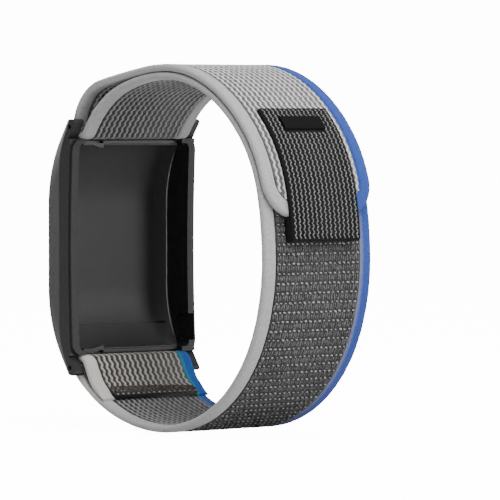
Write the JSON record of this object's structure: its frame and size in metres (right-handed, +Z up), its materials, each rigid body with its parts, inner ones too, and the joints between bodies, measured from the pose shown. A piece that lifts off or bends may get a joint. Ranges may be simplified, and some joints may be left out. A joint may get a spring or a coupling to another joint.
{
  "type": "fitness tracker band",
  "caption": "Woven hook-and-loop wristband with an open carrier case for a screenless fitness tracker; flap and pull tab close over the loop.",
  "frame": {"origin": "centre of the wrist loop, on the wrist's axis", "axes": "+X from the case towards the pull tab, +Y along the wrist towards the blue edge, +Z up towards the bar that the flap turns round"},
  "size_m": [0.0609, 0.0284, 0.0638],
  "materials": {
    "case_black": "fine satin texture",
    "frame_black": "fine satin texture",
    "lip_black": "satin",
    "weave_grey": "ribbed zigzag weave, light ribs on dark grey",
    "edge_grey": "brushed felt-like selvedge",
    "edge_blue": "brushed felt-like selvedge",
    "loop_pile": "dark loop pile with light picks",
    "hook_tape": "moulded hooks",
    "tab_webbing": "ribbed black webbing with grey picks",
    "pressed_bar": "smooth pressed bar",
    "seam_thread": "dense bar tack",
    "bar_steel": "bright drawn steel"
  },
  "bodies": {
    "case": {"case_shell": "case_black", "pocket_frame": "frame_black", "upper_retainer": "lip_black", "lower_retainer": "lip_black", "strap_core": "weave_grey", "strap_pile": "loop_pile", "strap_edge_grey": "edge_grey", "strap_edge_blue": "edge_blue", "end_seam": "seam_thread", "turn_core": "weave_grey", "turn_edge_grey": "edge_grey", "turn_edge_blue": "edge_blue"},
    "flap": {"flap_core": "weave_grey", "flap_edge_grey": "edge_grey", "flap_edge_blue": "edge_blue", "hook_patch": "hook_tape", "pull_tab": "tab_webbing", "tab_bar": "pressed_bar"},
    "upper_bar": {"upper_bar_tube": "bar_steel", "upper_bar_spring": "bar_steel"},
    "upper_tip_near": {"upper_bar_tip_near": "bar_steel"},
    "upper_tip_far": {"upper_bar_tip_far": "bar_steel"},
    "upper_finger": {"upper_snap_finger": "lip_black"},
    "lower_bar": {"lower_bar_tube": "bar_steel", "lower_bar_spring": "bar_steel"},
    "lower_tip_near": {"lower_bar_tip_near": "bar_steel"},
    "lower_tip_far": {"lower_bar_tip_far": "bar_steel"},
    "lower_finger": {"lower_snap_finger": "lip_black"}
  },
  "joints": [
    {"name": "flap_peel", "type": "hinge", "parent": "case", "child": "flap", "pos_m": [-0.0222, 0, 0.0213], "axis": [0, -1, 0], "range_deg": [0, 70], "deforming": ["turn_core", "turn_edge_grey", "turn_edge_blue"]},
    {"name": "upper_bar_turn", "type": "hinge", "parent": "case", "child": "upper_bar", "pos_m": [-0.0222, 0, 0.0213], "axis": [0, 1, 0], "continuous": true},
    {"name": "upper_tip_near_press", "type": "slide", "parent": "upper_bar", "child": "upper_tip_near", "axis": [0, 1, 0], "range_m": [0, 0.00115], "stiffness_N_per_m": 400, "springref_m": -0.0005, "deforming": ["upper_bar_spring"]},
    {"name": "upper_tip_far_press", "type": "slide", "parent": "upper_bar", "child": "upper_tip_far", "axis": [0, -1, 0], "range_m": [0, 0.00115], "stiffness_N_per_m": 400, "springref_m": -0.0005},
    {"name": "upper_finger_flex", "type": "hinge", "parent": "case", "child": "upper_finger", "pos_m": [-0.0227, -0.011, 0.01843], "axis": [1, 0, 0], "range_deg": [0, 4], "stiffness_Nm_per_rad": 0.05},
    {"name": "lower_bar_turn", "type": "hinge", "parent": "case", "child": "lower_bar", "pos_m": [-0.0222, 0, -0.0213], "axis": [0, 1, 0], "continuous": true},
    {"name": "lower_tip_near_press", "type": "slide", "parent": "lower_bar", "child": "lower_tip_near", "axis": [0, 1, 0], "range_m": [0, 0.00115], "stiffness_N_per_m": 400, "springref_m": -0.0005, "deforming": ["lower_bar_spring"]},
    {"name": "lower_tip_far_press", "type": "slide", "parent": "lower_bar", "child": "lower_tip_far", "axis": [0, -1, 0], "range_m": [0, 0.00115], "stiffness_N_per_m": 400, "springref_m": -0.0005},
    {"name": "lower_finger_flex", "type": "hinge", "parent": "case", "child": "lower_finger", "pos_m": [-0.0227, -0.011, -0.01843], "axis": [-1, 0, 0], "range_deg": [0, 4], "stiffness_Nm_per_rad": 0.05}
  ]
}
